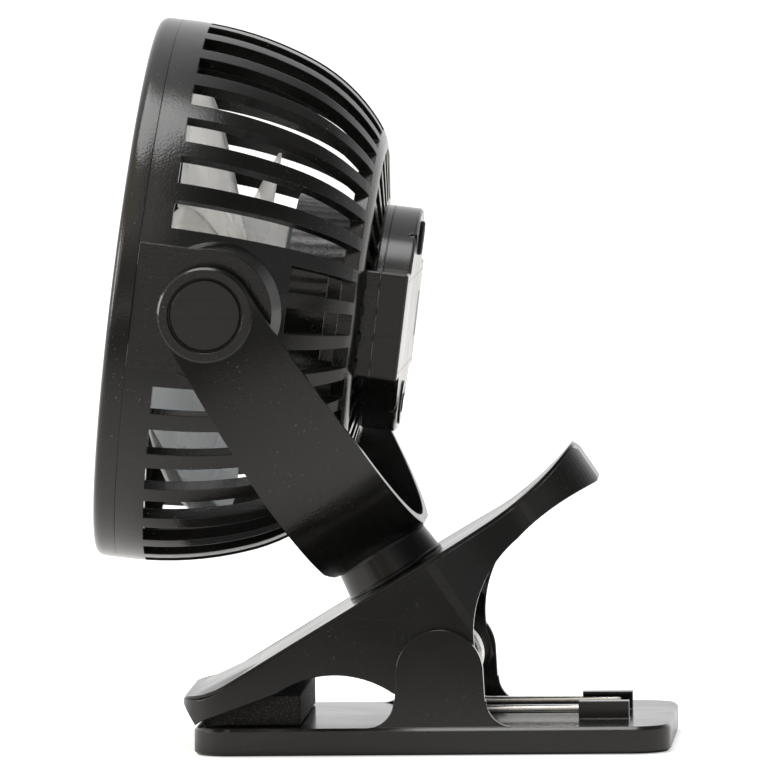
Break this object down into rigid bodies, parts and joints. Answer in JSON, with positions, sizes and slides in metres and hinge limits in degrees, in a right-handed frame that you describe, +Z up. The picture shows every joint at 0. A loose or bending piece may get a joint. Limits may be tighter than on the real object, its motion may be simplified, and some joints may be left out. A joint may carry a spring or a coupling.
{
  "type": "portable camping fan",
  "caption": "Portable camping fan: a caged head tilts in a swivelling U yoke on a spring clamp whose flat base also stands on a table.",
  "frame": {"origin": "middle of the base's underside, in the plane the feet stand on", "axes": "+Z up, the fan blows towards -Y, the clamp hinge and the tilt axis run along X"},
  "size_m": [0.1616, 0.1528, 0.1935],
  "materials": {
    "shell_plastic": "satin moulded black ABS",
    "gloss_black": "gloss",
    "soft_rubber": "matte",
    "foam_rubber": "matte, grainy foam",
    "pin_steel": "plated, turned",
    "spring_wire": "bright nickel-plated wire",
    "contact_steel": "nickel-plated sheet",
    "bearing_brass": "sintered",
    "blade_plastic": "translucent pale blue-grey",
    "cell_sleeve": "shrink sleeve",
    "board": "solder mask",
    "white_plastic": "moulded",
    "lens": "clear diffuser"
  },
  "bodies": {
    "base": {"base": "shell_plastic", "base_feet": "soft_rubber", "hinge_pin": "pin_steel", "torsion_spring_left": "spring_wire", "torsion_spring_right": "spring_wire"},
    "jaw": {"upper_jaw": "shell_plastic", "jaw_top_cover": "shell_plastic", "pad_carrier": "shell_plastic", "grip_pad": "foam_rubber"},
    "yoke_body": {"yoke": "shell_plastic", "swivel_knuckle": "shell_plastic", "swivel_washer": "pin_steel", "swivel_screw": "pin_steel", "pivot_caps": "shell_plastic"},
    "head": {"front_grille": "shell_plastic", "grille_cap": "gloss_black", "rear_cage": "shell_plastic", "rear_cover": "shell_plastic", "tilt_screws": "pin_steel", "tilt_washers": "pin_steel", "cover_screws": "pin_steel", "motor_can": "pin_steel", "motor_end_cap": "white_plastic", "motor_bushing": "bearing_brass", "motor_screws": "pin_steel", "battery_cell": "cell_sleeve", "battery_contacts": "contact_steel", "control_board": "board", "charge_board": "board", "button_switch": "white_plastic", "usb_socket": "contact_steel", "status_led": "lens"},
    "rotor": {"fan_blades": "blade_plastic", "motor_shaft": "pin_steel"},
    "button": {"speed_button": "soft_rubber"},
    "door": {"battery_door": "shell_plastic"}
  },
  "joints": [
    {"name": "jaw_open", "type": "hinge", "parent": "base", "child": "jaw", "pos_m": [0, 0.0024, 0.02175], "axis": [-1, 0, 0], "range_deg": [0, 30], "stiffness_Nm_per_rad": 2.8, "springref_deg": -17.19, "deforming": ["torsion_spring_left", "torsion_spring_right"]},
    {"name": "yoke_swivel", "type": "hinge", "parent": "jaw", "child": "yoke_body", "pos_m": [0, -0.0106, 0.04495], "axis": [0, -0.5165, 0.8563], "continuous": true},
    {"name": "head_tilt", "type": "hinge", "parent": "yoke_body", "child": "head", "pos_m": [0, -0.05533, 0.1191], "axis": [1, 0, 0], "continuous": true},
    {"name": "rotor_spin", "type": "hinge", "parent": "head", "child": "rotor", "pos_m": [0, -0.05533, 0.1191], "axis": [0, 0.9914, -0.1305], "continuous": true},
    {"name": "speed_button_press", "type": "slide", "parent": "head", "child": "button", "axis": [0, -0.9914, 0.1305], "range_m": [0, 0.0009], "stiffness_N_per_m": 800, "springref_m": -0.0008},
    {"name": "battery_door_slide", "type": "slide", "parent": "head", "child": "door", "axis": [-1, 0, 0], "range_m": [0, 0.03]}
  ]
}
